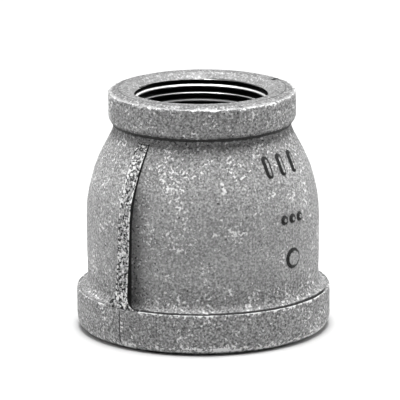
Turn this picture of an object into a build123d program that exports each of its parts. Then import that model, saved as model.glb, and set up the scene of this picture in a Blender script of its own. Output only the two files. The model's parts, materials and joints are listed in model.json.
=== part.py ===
from build123d import *
from build123d.topology import SkipClean
import math
import os

# Concentric reducer: a banded reducing coupling, nominal 2 by 1-1/4, class 150 malleable iron.
# Millimetres. Z is the flow axis, the origin is the centre of the large end's face, and +Z points
# to the small end. The mould's parting plane is XZ, so the two ribs stand at +X and -X.
# It is one casting with the threads cut in it, so it is one solid.

# Whole fitting, face to face
LENGTH = 71.4

# Small end, for 1-1/4 pipe
SMALL_BAND_R = 27.6
SMALL_BAND_H = 8.9
SMALL_FACE_R = 24.6
SMALL_FACE_DROP = 0.8
SMALL_MOUTH_R = 21.6
SMALL_PITCH_R = 20.109
SMALL_THREAD_L = 17.3

# Large end, for 2 pipe
LARGE_BAND_R = 37.4
LARGE_BAND_H = 12.3
LARGE_FACE_R = 33.8
LARGE_ROUND_H = 4.0
LARGE_MOUTH_R = 30.65
LARGE_PITCH_R = 29.163
LARGE_THREAD_L = 19.4

# Barrel, shoulder and neck between the bands
BARREL_R = 34.15
COVE_R = 2.6
COVE_TOP = LARGE_BAND_H + COVE_R
BAND_EDGE = 0.3
NECK_R = 26.35
NECK_Z = 59.7
SHOULDER = [
    (34.3, 25.0),
    (34.35, 32.0),
    (34.1, 37.5),
    (33.3, 42.5),
    (31.95, 47.5),
    (30.1, 52.0),
    (27.9, 56.0),
]
CORE_R = 30.05

# Taper pipe thread, right hand, 11-1/2 turns to the inch, 1 in 16 on the diameter
THREAD_PITCH = 25.4 / 11.5
FLANK_TAN = math.tan(math.radians(30))
CREST_FLAT = 0.17
ROOT_FLAT = 0.10
TAPER = 1 / 32
SMALL_THREAD_START = 0.7

# Parting-line ribs, and the flash the mould leaves down the large band
RIB_W = 4.5
RIB_FOOT_R = 4.0
RIB_SINK = 0.05
RIB_BACK = [
    (37.4, 11.6),
    (37.3, 14.5),
    (36.7, 20.0),
    (35.9, 30.0),
    (35.5, 38.0),
    (34.7, 43.0),
    (32.7, 48.0),
    (30.65, 52.5),
    (28.2, 56.7),
    (26.3, 59.4),
]
FLASH_W = 0.6
FLASH_PROUD = 0.2

# Where each turned surface closes on itself, kept clear of the ribs and the marks
SEAM = 45

# Raised foundry marks, in a column on the -Y side
MARK_PROUD = 0.5
BAR_W = 1.5
BAR_L = 5.2
BAR_GAP = 5.4
BAR_Z = 52.6
PIP_R = 0.9
PIP_GAP = 3.4
PIP_Z = 37.2
DISC_R = 2.5
DISC_Z = 25.4


def half_gap(flat):
    """Half the axial room a thread flank takes up, from the pitch line to this flat."""
    return (THREAD_PITCH / 2 - flat) / 2


def crest_radius(pitch_r):
    return pitch_r - half_gap(CREST_FLAT) / FLANK_TAN


def root_radius(pitch_r):
    return pitch_r + half_gap(ROOT_FLAT) / FLANK_TAN


def filled_body(skin):
    """The outside as a solid of revolution with the bore filled, grown outward by skin between the bands."""
    band_low = LENGTH - SMALL_FACE_DROP - SMALL_BAND_H
    shoulder = [(radius + skin, z) for radius, z in SHOULDER]
    with BuildPart() as part:
        with BuildSketch(Plane.XZ):
            with BuildLine():
                Polyline((0, LENGTH), (0, 0), (LARGE_FACE_R, 0))
                Spline(
                    (LARGE_FACE_R, 0),
                    (LARGE_BAND_R - 0.98, 1.08),
                    (LARGE_BAND_R, LARGE_ROUND_H),
                    tangents=[(1, 0.1), (0, 1)],
                )
                Polyline(
                    (LARGE_BAND_R, LARGE_ROUND_H),
                    (LARGE_BAND_R, LARGE_BAND_H - BAND_EDGE),
                    (LARGE_BAND_R - BAND_EDGE, LARGE_BAND_H),
                    (BARREL_R + skin + COVE_R, LARGE_BAND_H),
                )
                Spline(
                    (BARREL_R + skin + COVE_R, LARGE_BAND_H),
                    (BARREL_R + skin + 0.29 * COVE_R, LARGE_BAND_H + 0.29 * COVE_R),
                    (BARREL_R + skin, COVE_TOP),
                    tangents=[(-1, 0), (0, 1)],
                )
                Spline(
                    (BARREL_R + skin, COVE_TOP),
                    *shoulder,
                    (NECK_R + skin, NECK_Z),
                    tangents=[(0, 1), (0, 1)],
                )
                Spline(
                    (NECK_R + skin, NECK_Z),
                    (NECK_R + skin + 0.45, band_low - 0.4),
                    (SMALL_BAND_R, band_low + 2.2),
                    tangents=[(0, 1), (0, 1)],
                )
                Polyline(
                    (SMALL_BAND_R, band_low + 2.2),
                    (SMALL_BAND_R, LENGTH - SMALL_FACE_DROP - BAND_EDGE),
                    (SMALL_BAND_R - BAND_EDGE, LENGTH - SMALL_FACE_DROP),
                    (SMALL_FACE_R, LENGTH),
                    (0, LENGTH),
                )
            make_face()
        revolve(axis=Axis.Z)
    return part.part.rotate(Axis.Z, SEAM)


def rib():
    """The parting-line rib at +X: its back follows the shoulder, its foot flares onto the band's edge."""
    foot_z = LARGE_BAND_H + RIB_FOOT_R
    half = RIB_W / 2
    with BuildPart() as side:
        with BuildSketch(Plane.XZ.offset(-12)):
            with BuildLine():
                Spline(*RIB_BACK)
                Polyline(RIB_BACK[-1], (24.0, RIB_BACK[-1][1]), (24.0, RIB_BACK[0][1]), RIB_BACK[0])
            make_face()
        extrude(amount=24)
    with BuildPart() as front:
        with BuildSketch(Plane.YZ.offset(20)):
            with BuildLine():
                Polyline(
                    (-half, foot_z),
                    (-half, NECK_Z),
                    (half, NECK_Z),
                    (half, foot_z),
                )
                RadiusArc((half, foot_z), (half + RIB_FOOT_R, LARGE_BAND_H), -RIB_FOOT_R)
                Polyline(
                    (half + RIB_FOOT_R, LARGE_BAND_H),
                    (half + RIB_FOOT_R, LARGE_BAND_H - 0.6),
                    (-half - RIB_FOOT_R, LARGE_BAND_H - 0.6),
                    (-half - RIB_FOOT_R, LARGE_BAND_H),
                )
                RadiusArc((-half - RIB_FOOT_R, LARGE_BAND_H), (-half, foot_z), -RIB_FOOT_R)
            make_face()
        extrude(amount=20)
    band = Cylinder(LARGE_BAND_R - RIB_SINK, LENGTH, align=(Align.CENTER, Align.CENTER, Align.MIN))
    return side.part & front.part & band


def flash():
    """The fine raised line left where the mould halves meet on the large band at +X."""
    low = LARGE_ROUND_H + 0.2
    high = LARGE_BAND_H - 0.8
    line = Box(
        2.0,
        FLASH_W,
        high - low,
        align=(Align.MAX, Align.CENTER, Align.MIN),
    )
    return line.moved(Location((LARGE_BAND_R + FLASH_PROUD, 0, low)))


def marks():
    """Plain raised bars, pips and a disc where a foundry puts its casting marks."""
    with BuildPart() as part:
        with BuildSketch(Plane.XZ.offset(20)):
            with Locations(*[(step * BAR_GAP, BAR_Z) for step in (-1, 0, 1)]):
                Rectangle(BAR_W, BAR_L)
            with Locations(*[(step * PIP_GAP, PIP_Z) for step in (-1, 0, 1)]):
                Circle(PIP_R)
            with Locations((0, DISC_Z)):
                Circle(DISC_R)
        extrude(amount=20)
    return part.part & filled_body(MARK_PROUD)


def bore_sector(start):
    """One quarter of the space the core and the boring leave open, before the threads are cut."""
    small_r = crest_radius(SMALL_PITCH_R)
    large_r = crest_radius(LARGE_PITCH_R)
    small_end = LENGTH - SMALL_THREAD_L
    with BuildPart() as part:
        with BuildSketch(Plane.XZ):
            with BuildLine():
                Polyline(
                    (0, -1),
                    (LARGE_MOUTH_R + 1, -1),
                    (large_r, LARGE_MOUTH_R - large_r),
                    (large_r, LARGE_THREAD_L),
                    (CORE_R + 0.3, LARGE_THREAD_L + 1.0),
                )
                Spline(
                    (CORE_R + 0.3, LARGE_THREAD_L + 1.0),
                    (CORE_R, 27.0),
                    (CORE_R - 0.1, 34.0),
                    (CORE_R - 0.9, 40.0),
                    (CORE_R - 2.6, 45.5),
                    (CORE_R - 5.2, 50.0),
                    (SMALL_MOUTH_R + 0.2, small_end - 1.2),
                )
                Polyline(
                    (SMALL_MOUTH_R + 0.2, small_end - 1.2),
                    (small_r, small_end),
                    (small_r, LENGTH - (SMALL_MOUTH_R - small_r)),
                    (SMALL_MOUTH_R + 1, LENGTH + 1),
                    (0, LENGTH + 1),
                    (0, -1),
                )
            make_face()
        revolve(axis=Axis.Z, revolution_arc=90)
    return part.part.rotate(Axis.Z, start)


def thread_cutters(pitch_r, length):
    """The ridge that cuts one taper thread, as quarter turns. The mouth is at Z zero and faces +Z."""
    root_r = root_radius(pitch_r)
    inner_r = crest_radius(pitch_r) - 0.02
    rise = (root_r - inner_r) * FLANK_TAN
    section = [
        (inner_r, -ROOT_FLAT / 2 - rise),
        (root_r, -ROOT_FLAT / 2),
        (root_r, ROOT_FLAT / 2),
        (inner_r, ROOT_FLAT / 2 + rise),
    ]
    slant = math.atan(TAPER)
    deepest = math.ceil((length / THREAD_PITCH + 0.8) * 4)
    cutters = []
    for quarter in range(-deepest, 4):
        z = quarter * THREAD_PITCH / 4
        edges = []
        for radius, offset in section:
            helix = Edge.make_helix(
                THREAD_PITCH / math.cos(slant),
                THREAD_PITCH / 4,
                radius + z * TAPER,
                angle=math.degrees(slant),
            )
            edges.append(helix.moved(Location((0, 0, z + offset), (0, 0, 90 * (quarter % 4)))))
        faces = []
        for first, second in zip(edges, edges[1:] + edges[:1]):
            faces.append(Face.make_surface_from_curves(first, second))
        for end in (0, 1):
            corners = [edge.position_at(end) for edge in edges]
            faces.append(Face(Wire.make_polygon(corners, close=True)))
        cutters.append(Solid(Shell(faces)))
    return cutters


def reducer_casting():
    """The whole fitting. The bores stay in quarters, so every crest of the thread is a true cylinder face."""
    body = filled_body(0)
    for side in (0, 180):
        body += rib().rotate(Axis.Z, side)
        body += flash().rotate(Axis.Z, side)
    body += marks()
    solid = body.solid()
    small = [
        cutter.moved(Location((0, 0, LENGTH - SMALL_THREAD_START)))
        for cutter in thread_cutters(SMALL_PITCH_R, SMALL_THREAD_L)
    ]
    large = [
        cutter.moved(Location((0, 0, 0), (180, 0, 0)))
        for cutter in thread_cutters(LARGE_PITCH_R, LARGE_THREAD_L)
    ]
    with SkipClean():
        solid = solid.cut(*[bore_sector(start) for start in (0, 90, 180, 270)])
        solid = solid.cut(*small)
        solid = solid.cut(*large)
    return solid


os.makedirs("parts", exist_ok=True)
export_step(reducer_casting(), "parts/reducer_casting.step")
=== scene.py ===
# %% [markdown]
# # A concentric reducer in malleable iron
# This lesson dresses one pipe fitting: a banded reducing coupling that joins a 2 inch pipe to a
# 1-1/4 inch pipe. The real one is a single sand casting. Its two end faces are turned flat in a lathe
# and a taper pipe thread is tapped in each end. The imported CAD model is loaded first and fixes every
# dimension. The piece made here has to stay inside its box.

# %% Load the frame and keep the CAD box
import json
import math

import bmesh
import bpy
from mathutils import Matrix, Quaternion, Vector, noise


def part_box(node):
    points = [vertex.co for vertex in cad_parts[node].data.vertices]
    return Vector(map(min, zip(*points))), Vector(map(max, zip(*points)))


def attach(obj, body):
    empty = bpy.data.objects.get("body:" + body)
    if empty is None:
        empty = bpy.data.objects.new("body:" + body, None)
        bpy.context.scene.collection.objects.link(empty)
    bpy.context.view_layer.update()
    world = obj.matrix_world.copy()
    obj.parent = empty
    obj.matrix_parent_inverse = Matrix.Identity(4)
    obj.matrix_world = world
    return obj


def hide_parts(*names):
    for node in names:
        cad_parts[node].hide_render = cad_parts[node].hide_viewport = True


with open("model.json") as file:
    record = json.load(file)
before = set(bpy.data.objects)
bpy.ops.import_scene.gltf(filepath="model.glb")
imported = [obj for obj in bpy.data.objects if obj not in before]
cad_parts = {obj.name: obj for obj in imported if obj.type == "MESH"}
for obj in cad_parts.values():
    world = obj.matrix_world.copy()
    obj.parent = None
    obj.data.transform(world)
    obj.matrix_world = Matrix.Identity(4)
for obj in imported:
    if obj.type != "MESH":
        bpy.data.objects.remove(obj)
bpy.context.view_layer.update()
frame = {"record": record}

NODE = "reducer_casting"
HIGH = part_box(NODE)[1]
MM = 0.001
LENGTH = HIGH.z / MM
LARGE_BAND_R = HIGH.y / MM
MOUNTS = {mount["name"]: mount for mount in frame["record"]["mounts"]}
SMALL_CREST_R = MOUNTS["small_end_thread"]["dims"]["r_mm"]
LARGE_CREST_R = MOUNTS["large_end_thread"]["dims"]["r_mm"]
print(f"fitting {LENGTH:.1f} mm long, large band {2 * LARGE_BAND_R:.1f} mm across")

# %% [markdown]
# ## The outside line
# Everything outside the bore is a turned shape, so it can be spun from one line. The line is kept as
# radius and height in millimetres. Smooth stretches are passed through a few points with a
# Catmull-Rom curve, and the crisp edges of the bands are plain corners between those stretches.

# %% Walk a smooth curve through a few points
def smooth_line(points, step):
    """Points about step apart on a Catmull-Rom curve through the given (radius, height) points."""
    knots = [Vector(p) for p in points]
    knots = [2 * knots[0] - knots[1]] + knots + [2 * knots[-1] - knots[-2]]
    line = []
    for a, b, c, d in zip(knots, knots[1:], knots[2:], knots[3:]):
        count = max(1, round((c - b).length / step))
        for i in range(count):
            t = i / count
            p = 0.5 * (2 * b + (c - a) * t + (2 * a - 5 * b + 4 * c - d) * t * t
                       + (3 * b - a - 3 * c + d) * t ** 3)
            line.append((p.x, p.y))
    return line + [tuple(knots[-2])]


def straight_line(points, step):
    """The same for straight runs between corners."""
    line = [points[0]]
    for a, b in zip(points, points[1:]):
        run = Vector(b) - Vector(a)
        count = max(1, round(run.length / step))
        line += [tuple(Vector(a) + run * (i + 1) / count) for i in range(count)]
    return line


# %% Draw the outside from the small mouth down to the large mouth
SMALL_BAND_R = 27.6
SMALL_FACE_R = 24.6
SMALL_FACE_DROP = 0.8
LARGE_BAND_H = 12.3
LARGE_FACE_R = 33.8
SMALL_RING_R = 22.0
LARGE_RING_R = 31.1
LARGE_BAND_EDGE = 11.7
LARGE_ROUND = 4.2
BARREL_FOOT_R = 34.15
RIM = LENGTH - SMALL_FACE_DROP
stretches = [
    straight_line([(SMALL_RING_R, LENGTH), (SMALL_FACE_R, LENGTH)], 0.7),
    straight_line([(SMALL_FACE_R, LENGTH), (SMALL_BAND_R - 0.3, RIM + 0.05)], 0.6),
    smooth_line([(SMALL_BAND_R - 0.3, RIM + 0.05), (SMALL_BAND_R - 0.08, RIM - 0.08),
                 (SMALL_BAND_R, RIM - 0.4)], 0.25),
    straight_line([(SMALL_BAND_R, RIM - 0.4), (SMALL_BAND_R, 64.0)], 0.6),
    smooth_line([(SMALL_BAND_R, 64.0), (27.45, 62.9), (26.95, 62.0), (26.5, 61.4)], 0.4),
    smooth_line([(26.5, 61.4), (26.25, 60.6), (26.35, 59.6), (26.9, 58.2), (27.9, 56.2),
                 (30.1, 52.0), (31.95, 47.5)], 0.36),
    smooth_line([(31.95, 47.5), (33.3, 42.5), (34.0, 38.8)], 0.6),
    smooth_line([(34.0, 38.8), (34.22, 36.2), (34.3, 34.8)], 0.36),
    smooth_line([(34.3, 34.8), (34.35, 32.0), (34.3, 28.9)], 0.6),
    smooth_line([(34.3, 28.9), (34.28, 25.0), (34.22, 21.9)], 0.36),
    smooth_line([(34.22, 21.9), (BARREL_FOOT_R, 19.0), (BARREL_FOOT_R, 16.0)], 0.6),
    smooth_line([(BARREL_FOOT_R, 16.0), (34.35, 14.3), (35.0, 13.1), (35.9, 12.5),
                 (36.5, LARGE_BAND_H)], 0.35),
    smooth_line([(36.5, LARGE_BAND_H), (36.85, 12.0), (37.05, 12.2), (37.22, 12.28), (37.38, 12.1),
                 (LARGE_BAND_R, LARGE_BAND_EDGE)], 0.17),
    straight_line([(LARGE_BAND_R, LARGE_BAND_EDGE), (LARGE_BAND_R, LARGE_ROUND)], 0.6),
    smooth_line([(LARGE_BAND_R, LARGE_ROUND), (37.2, 2.5), (36.42, 1.08), (35.2, 0.3),
                 (LARGE_FACE_R, 0.0)], 0.5),
    straight_line([(LARGE_FACE_R, 0.0), (LARGE_RING_R, 0.0)], 0.7),
]
OUTSIDE = [stretches[0][0]]
for stretch in stretches:
    OUTSIDE += stretch[1:]
print(f"outside line: {len(OUTSIDE)} points")

# %% [markdown]
# ## Spinning the skin
# The ribs stand at +X and -X and the marks face -Y. A spin keeps its steps even, so the skin is spun
# in six sectors, one after the other, with fine steps only where the ribs and the marks will rise.
# The last column meets the first, and merging doubles closes the ring.

# %% Spin the line in sectors
def line_in(bm, points, angle):
    """One open line of edges, standing at an angle about Z. Radius and height come in millimetres."""
    number = bm.verts.layers.int.get("row") or bm.verts.layers.int.new("row")
    verts = []
    for row, (radius, height) in enumerate(points):
        place = Vector((radius * math.cos(angle), radius * math.sin(angle), height))
        verts.append(bm.verts.new(place))
        verts[-1][number] = row
    edges = [bm.edges.new(pair) for pair in zip(verts, verts[1:])]
    return verts + edges


RIB_HALF_SECTOR = 11.0
# Each sector's sweep in degrees and its steps: a rib, the plain back, the other rib, a plain
# stretch, the marks, and a plain stretch back to the first rib.
SECTORS = [(22, 52), (158, 86), (22, 52), (62, 50), (34, 62), (62, 42)]
skin = bmesh.new()
geom = line_in(skin, OUTSIDE, math.radians(-RIB_HALF_SECTOR))
for sweep, steps in SECTORS:
    made = bmesh.ops.spin(skin, geom=geom, cent=(0, 0, 0), axis=(0, 0, 1),
                          angle=math.radians(sweep), steps=steps, use_duplicate=False)
    geom = made["geom_last"]
bmesh.ops.remove_doubles(skin, verts=skin.verts, dist=0.001)
print(f"skin: {len(skin.verts)} vertices, {len(skin.faces)} faces")

# %% [markdown]
# ## Ribs, flash and marks
# A moulded rib is not a glued-on bar. Its back follows the shoulder, its foot spreads in a round
# corner on to the edge of the large band, and its edges are soft. So it is drawn out of the skin:
# every skin point knows how far along the line it is, and inside the rib's outline it slides out to
# the rib's back. The marks are raised the same way, by half a millimetre.

# %% Heights of the ribs and of the marks
RIB_HALF = 2.25
RIB_FOOT = 4.0
RIB_TOP = LARGE_BAND_H + RIB_FOOT
# Height and distance out from the YZ plane, up the rib's back
RIB_BACK = [(11.6, 37.38), (14.5, 37.28), (20.0, 36.7), (30.0, 35.9), (38.0, 35.5), (43.0, 34.7),
            (48.0, 32.75), (52.5, 30.75), (56.7, 28.3), (59.4, 26.3)]
SOFT_EDGE = 0.35


def between(table, key):
    """Straight interpolation in a table of (key, value) pairs."""
    for (k0, v0), (k1, v1) in zip(table, table[1:]):
        if key <= k1:
            t = min(1.0, max(0.0, (key - k0) / (k1 - k0)))
            return v0 + (v1 - v0) * t
    return table[-1][1]


def ease(low, high, x):
    """0 at low, 1 at high, smooth between and level beyond. High may be the lesser one."""
    t = min(1.0, max(0.0, (x - low) / (high - low)))
    return t * t * (3 - 2 * t)


def rib_half_width(height):
    """Half the rib's width, with the round corner at its foot."""
    if height >= RIB_TOP:
        return RIB_HALF
    drop = min(RIB_FOOT, RIB_TOP - height)
    return RIB_HALF + RIB_FOOT - math.sqrt(RIB_FOOT ** 2 - drop ** 2)


BARS = [(-5.4, 52.6), (0.0, 52.6), (5.4, 52.6)]
BAR_HALF_W = 0.75
BAR_HALF_RUN = 1.85
PIPS = [(-3.4, 37.2), (0.0, 37.2), (3.4, 37.2)]
PIP_R = 0.9
DISC = (0.0, 25.4)
DISC_R = 2.5


def mark_gap(x, z):
    """How far a point is outside the nearest raised mark, in millimetres, and below 0 inside it."""
    gaps = []
    for cx, cz in BARS:
        reach = max(abs(z - cz) - BAR_HALF_RUN, 0.0)
        gaps.append(math.hypot(x - cx, reach) - BAR_HALF_W)
    for cx, cz in PIPS:
        gaps.append(math.hypot(x - cx, z - cz) - PIP_R)
    gaps.append(math.hypot(x - DISC[0], z - DISC[1]) - DISC_R)
    return min(gaps)


# %% Find where the rib's back lies for each row
LEVEL_Z = 18.0
length_at = [0.0]
for a, b in zip(OUTSIDE, OUTSIDE[1:]):
    length_at.append(length_at[-1] + (Vector(b) - Vector(a)).length)


def row_near(radius, height):
    """The row of the outside line that lies nearest to a radius and a height."""
    return min(range(len(OUTSIDE)),
               key=lambda i: abs(OUTSIDE[i][1] - height) + abs(OUTSIDE[i][0] - radius))


EDGE_ROW = row_near(LARGE_BAND_R, LARGE_BAND_EDGE)
LEVEL_ROW = row_near(BARREL_FOOT_R, LEVEL_Z)


def rib_place(row):
    """Where the rib's back is for a row of the skin: (distance out from the axis plane, height)."""
    height = OUTSIDE[row][1]
    if LEVEL_ROW <= row <= EDGE_ROW:
        share = (length_at[row] - length_at[LEVEL_ROW]) / (length_at[EDGE_ROW] - length_at[LEVEL_ROW])
        height = LEVEL_Z + (LARGE_BAND_EDGE - LEVEL_Z) * share
    return between(RIB_BACK, height), height


print(f"rib foot between rows {LEVEL_ROW} and {EDGE_ROW}")

# %% [markdown]
# ## Painted shade and painted highlights
# The painted shade and highlights follow the shape. Crevices, the feet of the marks and the shaded
# side of each rib are painted dark as shade, and proud edges are painted bright as highlights. The
# rim and the flash line also get darker and brighter stretches. So while the skin is shaped, its
# points also get three numbers, in vertex layers that the cast skin's material reads later:
# grime_and_shade, wear_and_highlight, and wall, which falls from 1 on a rib's back to 0 at the foot
# of its side. A little noise keeps every line uneven. One small function deals with each place.

# %% Add the three layers
number = skin.verts.layers.int["row"]
# Painted shade goes in the first layer, and painted highlights in the second.
grime_and_shade = skin.verts.layers.float.new("grime_and_shade")
wear_and_highlight = skin.verts.layers.float.new("wear_and_highlight")
wall = skin.verts.layers.float.new("wall")


def bell(x, middle, reach):
    """1 at the middle, falling to 0 at reach to either side."""
    return max(0.0, 1.0 - abs(x - middle) / reach)


print("layers on the skin's points:", skin.verts.layers.float.keys())

# %% The small band: the crevice under it and the rim above it
NECK_LOW = 56.5
CREVICE_Z = 61.5
NECK_HIGH = 62.6


def shade_under_small_band(v, height):
    """Painted shade in the crevice under the small band, and fainter painted shade on the neck below it.
    """
    uneven = 1.3 + 0.9 * noise.noise(v.co / 1.4)
    # Painted shade: a fainter dark on the neck, and a darker line in the crevice under the band.
    shade_and_dirt = 0.29 * ease(NECK_LOW, CREVICE_Z - 1, height)
    v[grime_and_shade] = max(min(1.0, bell(height, CREVICE_Z, 0.7) * uneven), shade_and_dirt)


def rim_highlight_and_dark(v):
    """Painted highlight and darker stretches by turns along the small band's upper edge."""
    uneven = 0.5 + 0.7 * noise.noise(v.co / 8 + Vector((4, 0, 0)))
    # Painted highlight along the rim, with darker stretches just below it between the bright ones.
    v[wear_and_highlight] = uneven * bell(v.co.z, RIM, 0.5)
    v[grime_and_shade] = 0.4 * (1 - uneven) * bell(v.co.z, RIM - 0.8, 0.5)


print(f"crevice at {CREVICE_Z} mm, rim at {RIM:.1f} mm")

# %% The large band: the ledge, the lip, a pit and the foot
LEDGE_LOW, LEDGE_HIGH, LEDGE_R = 11.6, 13.6, 34.0
LEDGE_LINE_R = 36.55
LIP_R = 37.27
# Turns in degrees over which the painted shade line and highlight at the ledge grow strong and fade.
SHADE_FROM = (178, 186)
SHADE_TO = (305, 275)
BAND_PIT = Vector((-34.7, 5.5, 12.9))


def ledge_shade_and_lip_highlight(v, start_r):
    """A painted shade line behind the lip, and a painted highlight on the lip. Both are strongest from
    -X round to -Y.
    """
    turned = math.degrees(math.atan2(v.co.y, v.co.x)) % 360
    facing = ease(*SHADE_FROM, turned) * ease(*SHADE_TO, turned)
    patchy = 1 + 1.6 * noise.noise(v.co / 1.1)
    # Painted shade: the dark line behind the lip.
    line = bell(start_r, LEDGE_LINE_R, 0.45 + 0.3 * facing)
    v[grime_and_shade] = min(1.0, (0.25 + 1.1 * facing * patchy) * line)
    # Painted highlight on the lip's edge.
    v[wear_and_highlight] = (0.6 + 0.9 * facing * patchy) * bell(start_r, LIP_R, 0.17)
    v.co.z -= 0.08 * (1 + noise.noise(v.co / 3)) * ease(36.4, 36.8, start_r)


def dark_pit_and_foot_light(v):
    """One dark pit beside the rib's foot, and the edge that the fitting stands on painted lighter
    against the shade under it.
    """
    v[grime_and_shade] = max(v[grime_and_shade], min(1.0, 2.5 * bell((v.co - BAND_PIT).length, 0.0, 1.0)))
    # Painted light on the lower edge, against the shade where it meets the floor.
    v[wear_and_highlight] = max(v[wear_and_highlight], 0.6 * ease(3.6, 1.6, v.co.z))


print(f"ledge between {LEDGE_LOW} and {LEDGE_HIGH} mm")

# %% The ribs
RIB_END = RIB_BACK[-1][0]
RIB_START = 11.5
RIB_SIDE_REACH = 16
RIB_LIMIT_R = LARGE_BAND_R - 0.02
SHADE_REACH = 9.0


def raise_rib(v, radius, side, shadow_side):
    """Slides one point out to the rib's back, and paints the rib's shadow beside it on its shadow side,
    a shade line along its other edge and highlights on its edges. True when it moves.
    """
    back, height = rib_place(v[number])
    half = rib_half_width(height)
    share = 1.0 - ease(half - SOFT_EDGE / 2, half + SOFT_EDGE / 2, side)
    out = min(math.hypot(back, side), RIB_LIMIT_R)
    proud = ease(0.1, 0.9, out - radius) if out > radius else 0.0
    low_down = ease(54.0, 42.0, height)
    # Painted shadow of the rib on its shadow side, fading out over SHADE_REACH; a painted shade line
    # along its other edge.
    shade_and_dirt = 0.35 * ease(SHADE_REACH, 0.0, side - half) * low_down * proud if shadow_side else 0.0
    corner = 0.0 if shadow_side else bell(side, half - 0.08, 0.2) * (0.25 + 0.75 * low_down)
    v[wall] = share if out > radius else 0.0
    v[grime_and_shade] = max(v[grime_and_shade] * (1 - share), proud * corner, 0.0 if side < half - 0.1 else shade_and_dirt)
    # Painted highlight along both top edges of the rib.
    v[wear_and_highlight] = max(v[wear_and_highlight] * (1 - share), 1.2 * proud * bell(side, half - 0.38, 0.28))
    if share <= 0 or out <= radius:
        return False
    new_r = radius + (out - radius) * share
    new_z = v.co.z + (height - v.co.z) * share
    v.co = Vector((v.co.x * new_r / radius, v.co.y * new_r / radius, new_z))
    return True


print(f"ribs end at {RIB_END} mm")

# %% The flash and the marks
FLASH_PROUD = 0.2
FLASH_LOW, FLASH_HIGH = 1.2, 12.0
MARK_PROUD = 0.48
MARKS_LOW, MARKS_HIGH = 20, 58


def raise_flash(v, side):
    """A fine broken line down the large band, darker along one side of it and brighter along the other.
    """
    across = v.co.y if v.co.x < 0 else -v.co.y
    line = FLASH_PROUD * (1 - ease(0.12, 0.45, side)) * ease(LARGE_ROUND, LARGE_ROUND + 1, v.co.z)
    line *= 0.6 + 0.4 * noise.noise(Vector((v.co.z * 0.9, 3.1, 0)))
    v[grime_and_shade] = 0.9 * bell(across, 0.32, 0.32)
    v[wear_and_highlight] = 0.9 * bell(across, -0.1, 0.32) * (1 + noise.noise(Vector((v.co.z, 0, 0))))
    v.co.x += math.copysign(line, v.co.x)


def raise_mark(v, radius):
    """Bars, pips and a disc, each with painted shade round its foot."""
    gap = mark_gap(v.co.x, v.co.z)
    # Painted shade round the foot of each mark.
    v[grime_and_shade] = min(1.0, 2.2 * bell(gap, 0.08, 0.5))
    up = MARK_PROUD * ease(0.18, -0.18, gap)
    v.co.x *= 1 + up / radius
    v.co.y *= 1 + up / radius


print(f"{len(BARS)} bars, {len(PIPS)} pips and a disc")

# %% Walk over the skin once
BARREL_INSIDE = 20
BAND_INSIDE = 35.5
raised = 0
for v in skin.verts:
    radius, side = math.hypot(v.co.x, v.co.y), abs(v.co.y)
    # Each rib's shadow side, where its shadow is painted on the skin.
    shadow_side = v.co.x * v.co.y > 0
    start_r, start_z = OUTSIDE[v[number]]
    if NECK_LOW < start_z < NECK_HIGH:
        shade_under_small_band(v, start_z)
    if LEDGE_LOW < start_z < LEDGE_HIGH and start_r > LEDGE_R:
        ledge_shade_and_lip_highlight(v, start_r)
    if radius > SMALL_BAND_R - 0.6 and abs(v.co.z - RIM) < 1.2:
        rim_highlight_and_dark(v)
    if abs(v.co.x) > BARREL_INSIDE and side < RIB_SIDE_REACH and RIB_START < v.co.z < RIB_END:
        raised += raise_rib(v, radius, side, shadow_side)
    elif abs(v.co.x) > BAND_INSIDE and FLASH_LOW < v.co.z < FLASH_HIGH:
        raise_flash(v, side)
    elif v.co.y < -BARREL_INSIDE and MARKS_LOW < v.co.z < MARKS_HIGH:
        raise_mark(v, radius)
    dark_pit_and_foot_light(v)
print(f"rib points raised: {raised}")

# %% [markdown]
# ## The threads
# A tapped thread is a groove that climbs as it turns, so it is spun too: a saw-tooth line several
# turns long is spun once round while it climbs by one pitch, and each tooth then meets the next one's
# start. The taper, the bored crests and the countersink at the mouth are all limits on the radius.
# The groove fades in just below the mouth, so that it leaves the countersink whole.

# %% Spin one thread
PITCH = 25.4 / 11.5
CREST_FLAT = 0.17
ROOT_FLAT = 0.10
DEPTH = (PITCH - CREST_FLAT - ROOT_FLAT) / 2 / math.tan(math.radians(30))
TAPER = 1 / 32
GROOVE_FADE = (1.6, 2.2)
RUN_OUT = 1.2
MOUTH_CUT = 0.25


def thread_radius(along, crest_r):
    """Radius of the untapered thread at a distance along the axis, with a groove's middle at 0."""
    off = abs((along / PITCH + 0.5) % 1.0 - 0.5) * PITCH
    rise = (off - ROOT_FLAT / 2) / (PITCH / 2 - CREST_FLAT / 2 - ROOT_FLAT / 2)
    return crest_r + DEPTH * (1 - min(1.0, max(0.0, rise)))


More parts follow.
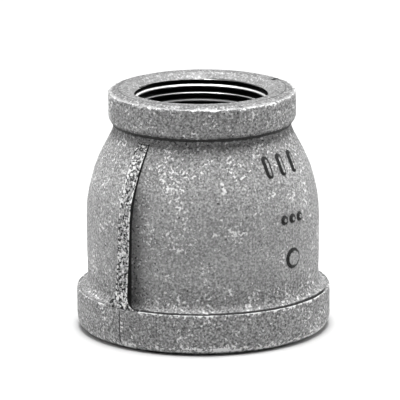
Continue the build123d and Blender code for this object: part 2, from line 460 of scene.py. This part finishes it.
def spin_thread(crest_r, mouth_r, length, cavity_r, first_groove, flank_rows, steps):
    """An open sleeve with its mouth at 0 facing +Z, cut square just inside the mouth and the cavity."""
    bm = bmesh.new()
    marks = [-PITCH / 2 + CREST_FLAT / 2]
    marks += [-PITCH / 2 + CREST_FLAT / 2 + (PITCH / 2 - CREST_FLAT / 2 - ROOT_FLAT / 2) * i / flank_rows
              for i in range(1, flank_rows + 1)]
    marks += [-m for m in reversed(marks)]
    turns = math.ceil(length / PITCH) + 3
    line = []
    for turn in range(-turns, 2):
        line += [(thread_radius(m, crest_r), m + turn * PITCH - first_groove) for m in marks]
    geom = line_in(bm, line, 0.0)
    bmesh.ops.spin(bm, geom=geom, cent=(0, 0, 0), axis=(0, 0, 1), dvec=(0, 0, PITCH / steps),
                   angle=math.radians(360), steps=steps, use_duplicate=False)
    bmesh.ops.remove_doubles(bm, verts=bm.verts, dist=0.001)
    for v in bm.verts:
        radius = math.hypot(v.co.x, v.co.y)
        cone = mouth_r + v.co.z
        radius_now = crest_r + (radius - crest_r) * ease(*GROOVE_FADE, -v.co.z)
        flare = crest_r + (-length - v.co.z) * (cavity_r - crest_r) / RUN_OUT
        new = max(radius_now + v.co.z * TAPER, crest_r, min(cone, mouth_r + 1), min(flare, cavity_r))
        v.co.x *= new / radius
        v.co.y *= new / radius
    for height, normal in ((-MOUTH_CUT, (0, 0, 1)), (-length - RUN_OUT, (0, 0, -1))):
        cut = bm.verts[:] + bm.edges[:] + bm.faces[:]
        bmesh.ops.bisect_plane(bm, geom=cut, dist=0.0001, plane_co=(0, 0, height), plane_no=normal,
                               clear_outer=True)
    return bm


SMALL_MOUTH_R = 21.6
SMALL_THREAD_L = 17.3
SMALL_CAVITY_R = SMALL_MOUTH_R + 0.2
LARGE_MOUTH_R = 30.65
LARGE_THREAD_L = 19.4
LARGE_CAVITY_R = 30.35
small_thread = spin_thread(SMALL_CREST_R, SMALL_MOUTH_R, SMALL_THREAD_L, SMALL_CAVITY_R, 0.7, 3, 180)
bmesh.ops.translate(small_thread, vec=(0, 0, LENGTH), verts=small_thread.verts)
large_thread = spin_thread(LARGE_CREST_R, LARGE_MOUTH_R, LARGE_THREAD_L, LARGE_CAVITY_R, 0.0, 3, 180)
bmesh.ops.rotate(large_thread, cent=(0, 0, 0), matrix=Matrix.Rotation(math.pi, 3, "X"),
                 verts=large_thread.verts)
print(f"threads: {len(small_thread.faces)} and {len(large_thread.faces)} faces")

# %% [markdown]
# ## One closed casting
# Skin, threads and the cored chamber between them are joined into one mesh. Each open ring is
# bridged to the ring it faces, so that the casting ends up as one closed surface.

# %% Join the parts and bridge the rings
SKIN, FACED, SMALL_THREAD, LARGE_THREAD, CORE = range(5)


def pour_in(target, source, index):
    """Copies one bmesh into another, with a material number."""
    for face in source.faces:
        face.material_index = index
    mesh = bpy.data.meshes.new("pour")
    source.to_mesh(mesh)
    target.from_mesh(mesh)
    bpy.data.meshes.remove(mesh)
    source.free()


casting = bmesh.new()
pour_in(casting, skin, SKIN)
pour_in(casting, small_thread, SMALL_THREAD)
pour_in(casting, large_thread, LARGE_THREAD)
chamber = bmesh.new()
CHAMBER = smooth_line([(21.9, 52.6), (24.85, 50.0), (27.45, 45.5), (29.15, 40.0), (29.95, 34.0),
                       (30.05, 27.0), (30.3, 21.2)], 2.2)
bmesh.ops.spin(chamber, geom=line_in(chamber, CHAMBER, 0.0), cent=(0, 0, 0), axis=(0, 0, 1),
               angle=math.radians(360), steps=120, use_merge=True, use_duplicate=False)
pour_in(casting, chamber, CORE)


def open_ring(height, radius):
    """The edges of the open ring nearest to a height and a radius."""
    ring = []
    for edge in casting.edges:
        if edge.is_boundary:
            middle = (edge.verts[0].co + edge.verts[1].co) / 2
            if abs(middle.z - height) < 0.15 and abs(math.hypot(middle.x, middle.y) - radius) < 0.5:
                ring.append(edge)
    return ring


BRIDGES = [
    ((LENGTH, SMALL_RING_R), (LENGTH - MOUTH_CUT, SMALL_MOUTH_R - MOUTH_CUT), FACED),
    ((LENGTH - SMALL_THREAD_L - RUN_OUT, SMALL_CAVITY_R), CHAMBER[0][::-1], CORE),
    ((LARGE_THREAD_L + RUN_OUT, LARGE_CAVITY_R), CHAMBER[-1][::-1], CORE),
    ((MOUTH_CUT, LARGE_MOUTH_R - MOUTH_CUT), (0.0, LARGE_RING_R), FACED),
]
for (z0, r0), (z1, r1), index in BRIDGES:
    rings = open_ring(z0, r0), open_ring(z1, r1)
    made = bmesh.ops.bridge_loops(casting, edges=rings[0] + rings[1])
    for face in made["faces"]:
        face.material_index = index
    print(f"bridged {len(rings[0])} edges to {len(rings[1])} at height {z0:.1f}")
left = sum(1 for edge in casting.edges if edge.is_boundary)
print(f"open edges left: {left}")

# %% [markdown]
# ## The hand of the foundry
# Sand leaves no surface perfectly round. The skin is pressed in by about a tenth of a millimetre in
# slow waves, small dents and a few deeper pits, and the corner where the turned face meets the rough
# band is chipped. Nothing is pushed outwards, so the size stays that of the CAD model.

# %% Dent the skin and chip the rim
# Depth, size across and seed of each kind of dent, in millimetres
DENTS = [(0.10, 9.0, 3.0), (0.07, 2.1, 11.0), (0.05, 0.9, 23.0)]


def wander(co, scale, seed):
    """Smooth noise from -1 to 1 with features about scale millimetres across."""
    return noise.noise(co / scale + Vector((seed, seed * 0.7, -seed)))


casting.normal_update()
shift = {}
for v in casting.verts:
    if any(face.material_index == SKIN for face in v.link_faces) and not v.is_boundary:
        radius = math.hypot(v.co.x, v.co.y)
        on_face = v.co.z > LENGTH - 0.01 or v.co.z < 0.01
        if on_face:
            continue
        dent = sum(depth * (wander(v.co, across, seed) - 1) * 0.5 for depth, across, seed in DENTS)
        dent -= 0.5 * max(0.0, wander(v.co, 1.3, 41.0) - 0.55)
        near_rim = ease(1.6, 0.2, abs(v.co.z - RIM)) if radius > 26.6 else 0.0
        chip = max(0.0, wander(v.co, 1.6, 57.0) + 0.15) * 0.45 * near_rim
        shift[v] = (dent - chip, -0.8 * chip * near_rim)
for v, (inward, down) in shift.items():
    radius = math.hypot(v.co.x, v.co.y)
    scale = (radius + inward) / radius
    v.co = Vector((v.co.x * scale, v.co.y * scale, v.co.z + down))
deepest = -min(inward for inward, down in shift.values())
print(f"skin points dented: {len(shift)}, the deepest by {deepest:.2f} mm")

# %% Sort the turned faces from the skin and the threads
def in_countersink(v, mouth_r, face_z):
    """Whether a point lies on the 45 degree cone that leads into a thread."""
    return abs(math.hypot(v.co.x, v.co.y) + abs(v.co.z - face_z) - mouth_r) < 0.02


MOUTHS = {SMALL_THREAD: (SMALL_MOUTH_R, LENGTH), LARGE_THREAD: (LARGE_MOUTH_R, 0.0)}
for face in casting.faces:
    face.smooth = True
    if face.material_index in MOUTHS:
        if all(in_countersink(v, *MOUTHS[face.material_index]) for v in face.verts):
            face.material_index = FACED
    if face.material_index == SKIN:
        middle = face.calc_center_median()
        radius = math.hypot(middle.x, middle.y)
        if middle.z > RIM + 0.02 and radius < SMALL_BAND_R - 0.15:
            face.material_index = FACED
        elif middle.z < 0.12 and radius < LARGE_FACE_R + 0.6:
            face.material_index = FACED
print("turned faces:", sum(1 for face in casting.faces if face.material_index == FACED))

# %% Make the casting an object
bmesh.ops.triangulate(casting, faces=[f for f in casting.faces if len(f.verts) > 4])
bmesh.ops.recalc_face_normals(casting, faces=casting.faces)
bmesh.ops.scale(casting, vec=(MM, MM, MM), verts=casting.verts)
mesh = bpy.data.meshes.new("reducer")
casting.to_mesh(mesh)
casting.free()
mesh.set_sharp_from_angle(angle=math.radians(48))
reducer = bpy.data.objects.new("reducer", mesh)
bpy.context.scene.collection.objects.link(reducer)
triangles = sum(len(p.vertices) - 2 for p in mesh.polygons)
print(f"reducer: {triangles} triangles")

# %% [markdown]
# ## Finishes
# The skin is dull grey iron with a sandy grain: pale worn specks, dark pits, and slow patches of
# tone. Shade is painted dark into the corners, and the proud edges are painted bright as highlights.
# The turned faces are smoother and carry fine rings from the tool. The threads are black with
# cutting oil, and only their crests are painted bright, as bare metal and as a painted highlight.
# Every pattern is noise on Object coordinates, so it sits still on the iron.

# %% Small helpers for shader nodes
def new_material(name):
    material = bpy.data.materials.new(name)
    material.use_nodes = True
    tree = material.node_tree
    return material, tree, tree.nodes["Principled BSDF"]


def plug(tree, socket, source):
    """Links a source to a socket, or sets it when the source is a number or a colour."""
    if isinstance(source, bpy.types.NodeSocket):
        tree.links.new(source, socket)
    else:
        socket.default_value = source


def grain(tree, coords, scale, detail, seed=0.0, roughness=0.6):
    """A noise value with about scale repeats a metre."""
    node = tree.nodes.new("ShaderNodeTexNoise")
    node.noise_dimensions = "4D"
    for name, value in (("Vector", coords), ("W", seed), ("Scale", scale), ("Detail", detail),
                        ("Roughness", roughness)):
        plug(tree, node.inputs[name], value)
    return node.outputs["Fac"]


def stretch(tree, value, low, high, out_low=0.0, out_high=1.0):
    """Maps low..high to out_low..out_high and stops at the ends."""
    node = tree.nodes.new("ShaderNodeMapRange")
    node.interpolation_type = "SMOOTHSTEP"
    for name, source in (("Value", value), ("From Min", low), ("From Max", high), ("To Min", out_low),
                         ("To Max", out_high)):
        plug(tree, node.inputs[name], source)
    return node.outputs["Result"]


def maths(tree, operation, first, second=0.0):
    node = tree.nodes.new("ShaderNodeMath")
    node.operation = operation
    plug(tree, node.inputs[0], first)
    plug(tree, node.inputs[1], second)
    return node.outputs[0]


def grey(level):
    return (level, level, level, 1.0)


def blend(tree, share, first, second):
    """Mixes two colours by a share."""
    node = tree.nodes.new("ShaderNodeMix")
    node.data_type = "RGBA"
    for index, source in ((0, share), (6, first), (7, second)):
        plug(tree, node.inputs[index], source)
    return node.outputs[2]


def place_and_radius(tree):
    """Object coordinates, and the distance from the fitting's axis, in metres."""
    coords = tree.nodes.new("ShaderNodeTexCoord").outputs["Object"]
    flat = tree.nodes.new("ShaderNodeVectorMath")
    flat.operation = "MULTIPLY"
    flat.inputs[1].default_value = (1, 1, 0)
    tree.links.new(coords, flat.inputs[0])
    size = tree.nodes.new("ShaderNodeVectorMath")
    size.operation = "LENGTH"
    tree.links.new(flat.outputs[0], size.inputs[0])
    return coords, size.outputs["Value"]


def height_above(tree, coords):
    """Height above the large end's face, in metres."""
    axis = tree.nodes.new("ShaderNodeSeparateXYZ")
    tree.links.new(coords, axis.inputs[0])
    return axis.outputs["Z"]


def layer(tree, name):
    """The value of one of the piece's own vertex layers."""
    node = tree.nodes.new("ShaderNodeAttribute")
    node.attribute_name = name
    return node.outputs["Fac"]


def bump(tree, height, strength, distance, shader):
    node = tree.nodes.new("ShaderNodeBump")
    for name, source in (("Strength", strength), ("Distance", distance), ("Height", height)):
        plug(tree, node.inputs[name], source)
    tree.links.new(node.outputs["Normal"], shader.inputs["Normal"])


# %% Cast skin, one finish over another
# Noise scales, in repeats a metre
PATCHES, CLUSTERS = 90, 160
SPECKS, PITS, SAND = 1150, 1300, 1550


def sandy_iron(tree, coords, sand):
    """Grey iron in slow patches, paler and darker from grain to grain."""
    patches = grain(tree, coords, PATCHES, 3)
    tone = blend(tree, stretch(tree, patches, 0.3, 0.7), grey(0.23), grey(0.29))
    tone = blend(tree, stretch(tree, sand, 0.50, 0.66), tone, grey(0.50))
    return blend(tree, stretch(tree, sand, 0.50, 0.34), tone, grey(0.10))


def specks_and_highlights(tree, coords, tone, rib_back):
    """Bright specks, close together in clusters, on the ribs' backs, with the painted highlights along
    the edges added.
    """
    specks = grain(tree, coords, SPECKS, 1, 9.0)
    crowd = stretch(tree, grain(tree, coords, CLUSTERS, 2, 3.0), 0.45, 0.65, 0.0, 0.13)
    worn_and_highlight = maths(tree, "ADD", specks, crowd)
    # The painted highlights of the edges, from the vertex layer.
    worn_and_highlight = maths(tree, "ADD", worn_and_highlight, maths(tree, "MULTIPLY", layer(tree, "wear_and_highlight"), 0.28))
    worn_and_highlight = maths(tree, "ADD", worn_and_highlight, rib_back)
    return blend(tree, stretch(tree, worn_and_highlight, 0.64, 0.76), tone, grey(0.8))


def pale_barrel(tree, coords, tone):
    """The barrel is a little paler than the bands, and its lower half the most."""
    height = height_above(tree, coords)
    above_cove = stretch(tree, height, 14 * MM, 24 * MM)
    below_neck = stretch(tree, height, 60 * MM, 32 * MM, 0.2, 1.0)
    share = maths(tree, "MULTIPLY", maths(tree, "MULTIPLY", above_cove, below_neck), 0.2)
    return blend(tree, share, tone, grey(0.6))


def paint_shade_and_pits(tree, coords, tone, sand, rise, rib_back):
    """Painted shade in the crevices, a painted shadow line along the top of each rib's side, and dark
    pits.
    """
    grime_and_shade = layer(tree, "grime_and_shade")
    # The painted shade from the vertex layer, darkest in the crevices and beside the ribs.
    shade_and_dirt = stretch(tree, maths(tree, "ADD", grime_and_shade, maths(tree, "MULTIPLY", sand, 0.2)), 0.12, 0.7)
    tone = blend(tree, shade_and_dirt, tone, grey(0.02))
    # A black line painted as shadow on each rib's side wall.
    line = maths(tree, "MULTIPLY", stretch(tree, rise, 0.999, 0.95), stretch(tree, rise, 0.28, 0.45))
    tone = blend(tree, line, tone, grey(0.01))
    dirty = maths(tree, "ADD", grain(tree, coords, PITS, 1, 14.0), maths(tree, "MULTIPLY", grime_and_shade, 0.25))
    dirty = maths(tree, "ADD", dirty, maths(tree, "MULTIPLY", rib_back, 1.35))
    return blend(tree, stretch(tree, dirty, 0.64, 0.76), tone, grey(0.03))


def cast_skin():
    material, tree, shader = new_material("cast_skin")
    coords = place_and_radius(tree)[0]
    sand = grain(tree, coords, SAND, 2, 5.0, 0.6)
    rise = layer(tree, "wall")
    rib_back = stretch(tree, rise, 0.9, 1.0, 0.0, 0.12)
    tone = sandy_iron(tree, coords, sand)
    tone = specks_and_highlights(tree, coords, tone, rib_back)
    tone = pale_barrel(tree, coords, tone)
    tone = paint_shade_and_pits(tree, coords, tone, sand, rise, rib_back)
    tree.links.new(tone, shader.inputs["Base Color"])
    shader.inputs["Metallic"].default_value = 0.1
    shader.inputs["Specular IOR Level"].default_value = 0.2
    tree.links.new(stretch(tree, sand, 0.3, 0.7, 0.8, 0.55), shader.inputs["Roughness"])
    bump(tree, sand, 0.4, 0.4 * MM, shader)
    return material


# %% [markdown]
# The turned rings show what the lathe and the shelf did to them. Fine rings follow the tool, the
# countersink and the outer edge are painted lighter as highlights, a thin dark line marks the step
# in the small end's face, and one deep scratch crosses it. All of these depend on the distance from
# the axis, except the scratch, which is a short straight strip.

# %% Turned faces
RING_PITCH = 0.35
NICK_TURN = math.radians(9.4)
NICK_OFF_AXIS = -13.0
NICK_ENDS = (18.3, 23.8)
NICK_HALF_WIDTH = 0.55


def nick(tree, coords):
    """1 on the scratch that crosses the small end's face, 0 elsewhere."""
    middle, half = sum(NICK_ENDS) / 2, (NICK_ENDS[1] - NICK_ENDS[0]) / 2
    found = []
    for turn, place in ((NICK_TURN + math.pi / 2, NICK_OFF_AXIS), (NICK_TURN, middle)):
        dot = tree.nodes.new("ShaderNodeVectorMath")
        dot.operation = "DOT_PRODUCT"
        dot.inputs[1].default_value = (math.cos(turn), math.sin(turn), 0)
        tree.links.new(coords, dot.inputs[0])
        found.append(maths(tree, "ABSOLUTE", maths(tree, "SUBTRACT", dot.outputs["Value"], place * MM)))
    off, along = found
    across = stretch(tree, off, 1.6 * NICK_HALF_WIDTH * MM, NICK_HALF_WIDTH * MM)
    return maths(tree, "MULTIPLY", across, stretch(tree, along, half * MM, (half - 0.5) * MM))


def turned_face():
    material, tree, shader = new_material("turned_face")
    coords, radius = place_and_radius(tree)
    blotch = grain(tree, coords, 260, 4)
    fine = grain(tree, coords, 1500, 2, 4.0)
    tone = blend(tree, stretch(tree, blotch, 0.35, 0.65), grey(0.12), grey(0.19))
    tone = blend(tree, stretch(tree, fine, 0.52, 0.68), tone, grey(0.42))
    tone = blend(tree, stretch(tree, fine, 0.46, 0.32), tone, grey(0.05))
    # Painted highlights on the countersink and on the outer edge of the face.
    countersink_highlight = stretch(tree, radius, (SMALL_MOUTH_R + 0.2) * MM, (SMALL_MOUTH_R - 0.2) * MM, 0.0, 0.14)
    tone = blend(tree, countersink_highlight, tone, grey(0.6))
    edge_highlight = stretch(tree, radius, 26.1 * MM, 26.9 * MM, 0.0, 0.3)
    tone = blend(tree, edge_highlight, tone, grey(0.6))
    step = maths(tree, "ABSOLUTE", maths(tree, "SUBTRACT", radius, SMALL_FACE_R * MM))
    tone = blend(tree, stretch(tree, step, 0.25 * MM, 0.1 * MM, 0.0, 0.6), tone, grey(0.04))
    tone = blend(tree, nick(tree, coords), tone, grey(0.01))
    tree.links.new(tone, shader.inputs["Base Color"])
    shader.inputs["Metallic"].default_value = 0.3
    tree.links.new(stretch(tree, blotch, 0.3, 0.7, 0.75, 0.6), shader.inputs["Roughness"])
    shader.inputs["Specular IOR Level"].default_value = 0.3
    rings = maths(tree, "SINE", maths(tree, "MULTIPLY", radius, 2 * math.pi / (RING_PITCH * MM)))
    bump(tree, maths(tree, "ADD", maths(tree, "MULTIPLY", rings, 0.15), fine), 0.3, 0.15 * MM, shader)
    return material


# %% Threads and core
def oiled_thread(name, crest_r):
    """Black oil in the groove and crests painted bright, as bare metal and as a painted highlight, with
    a broader painted highlight on the small end's first crest.
    """
    material, tree, shader = new_material(name)
    coords, radius = place_and_radius(tree)
    streak = grain(tree, coords, 500, 3)
    edge = maths(tree, "ADD", radius, maths(tree, "MULTIPLY", streak, 0.12 * MM))
    height = height_above(tree, coords)
    # The painted crest highlight is widened on the first crests of the small end.
    first_crest_highlight = stretch(tree, height, (LENGTH - 5) * MM, (LENGTH - 3.5) * MM, 0.0, 0.35 * MM)
    edge = maths(tree, "SUBTRACT", edge, first_crest_highlight)
    # Crests painted bright: partly bare metal, partly a painted highlight.
    crest = stretch(tree, edge, (crest_r + 0.26) * MM, (crest_r + 0.1) * MM)
    tone = blend(tree, crest, grey(0.008), grey(0.8))
    tree.links.new(tone, shader.inputs["Base Color"])
    shader.inputs["Metallic"].default_value = 0.4
    tree.links.new(stretch(tree, streak, 0.3, 0.7, 0.3, 0.45), shader.inputs["Roughness"])
    return material


def core_skin():
    """The chamber's wall, rough and dark from the sand core."""
    material, tree, shader = new_material("core_skin")
    coords = place_and_radius(tree)[0]
    sand = grain(tree, coords, 700, 4, 0.0, 0.7)
    tone = blend(tree, stretch(tree, sand, 0.35, 0.7), grey(0.05), grey(0.16))
    tree.links.new(tone, shader.inputs["Base Color"])
    shader.inputs["Roughness"].default_value = 0.75
    bump(tree, sand, 0.5, 0.5 * MM, shader)
    return material


for material in (cast_skin(), turned_face(), oiled_thread("oiled_thread_small", SMALL_CREST_R),
                 oiled_thread("oiled_thread_large", LARGE_CREST_R), core_skin()):
    mesh.materials.append(material)
print("finishes:", [m.name for m in mesh.materials])

# %% Tie the piece to the frame
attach(reducer, "root")
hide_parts(NODE)

# %% [markdown]
# ## Floor, light and camera
# The fitting stands on a plain pale floor. A softbox at each side lights its flanks, a third one
# above lights the faces and the floor, and the front is left to the light from the floor. The
# camera looks from a little above, between the rib and the marks.

# %% Floor
floor_bm = bmesh.new()
bmesh.ops.create_grid(floor_bm, x_segments=1, y_segments=1, size=3.0)
floor_mesh = bpy.data.meshes.new("floor")
floor_bm.to_mesh(floor_mesh)
floor_bm.free()
floor = bpy.data.objects.new("floor", floor_mesh)
bpy.context.scene.collection.objects.link(floor)
floor_material, floor_tree, floor_shader = new_material("pale_floor")
floor_shader.inputs["Base Color"].default_value = (0.5, 0.5, 0.5, 1)
floor_shader.inputs["Roughness"].default_value = 0.9
floor_mesh.materials.append(floor_material)

# %% Lights
def softbox(name, place, size, power):
    """A square lamp that faces the middle of the fitting."""
    data = bpy.data.lights.new(name, "AREA")
    data.size = size
    data.energy = power
    lamp = bpy.data.objects.new(name, data)
    bpy.context.scene.collection.objects.link(lamp)
    lamp.location = place
    aim = Vector((0, 0, 0.04)) - Vector(place)
    lamp.rotation_euler = aim.to_track_quat("-Z", "Y").to_euler()


world = bpy.data.worlds.new("studio")
bpy.context.scene.world = world
world.use_nodes = True
world.node_tree.nodes["Background"].inputs["Color"].default_value = (1, 1, 1, 1)
world.node_tree.nodes["Background"].inputs["Strength"].default_value = 0.05
softbox("top_box", (0.0, 0.0, 1.1), 0.6, 30)
softbox("left_box", (-0.26, 1.0, 0.38), 0.5, 4.7)
softbox("right_box", (0.93, -0.44, 0.38), 0.5, 4.8)
bpy.context.scene.view_settings.view_transform = "Standard"

# %% Camera
CAMERA_TURN = math.radians(220.2)
CAMERA_RISE = math.radians(13.95)
CAMERA_FAR = 1.465
CAMERA_TILT = math.radians(0.4)
LOOK_AT = Vector((0, 0, HIGH.z / 2))
toward = Vector((math.cos(CAMERA_TURN) * math.cos(CAMERA_RISE),
                 math.sin(CAMERA_TURN) * math.cos(CAMERA_RISE), math.sin(CAMERA_RISE)))
camera_data = bpy.data.cameras.new("camera")
camera = bpy.data.objects.new("camera", camera_data)
bpy.context.scene.collection.objects.link(camera)
bpy.context.scene.camera = camera
camera.location = LOOK_AT + toward * CAMERA_FAR
turn = (-toward).to_track_quat("-Z", "Y")
camera.rotation_mode = "QUATERNION"
camera.rotation_quaternion = Quaternion(toward, -CAMERA_TILT) @ turn
WIDTH_AT_OBJECT = 0.11775
SENSOR = 36
camera_data.sensor_width = SENSOR
camera_data.lens = SENSOR * CAMERA_FAR / WIDTH_AT_OBJECT
# The fitting stands a little off the middle of the frame.
camera_data.shift_x = -0.007
camera_data.shift_y = 0.0144
camera_data.clip_end = 20
print(f"camera {CAMERA_FAR} m away, lens {camera_data.lens:.0f} mm")
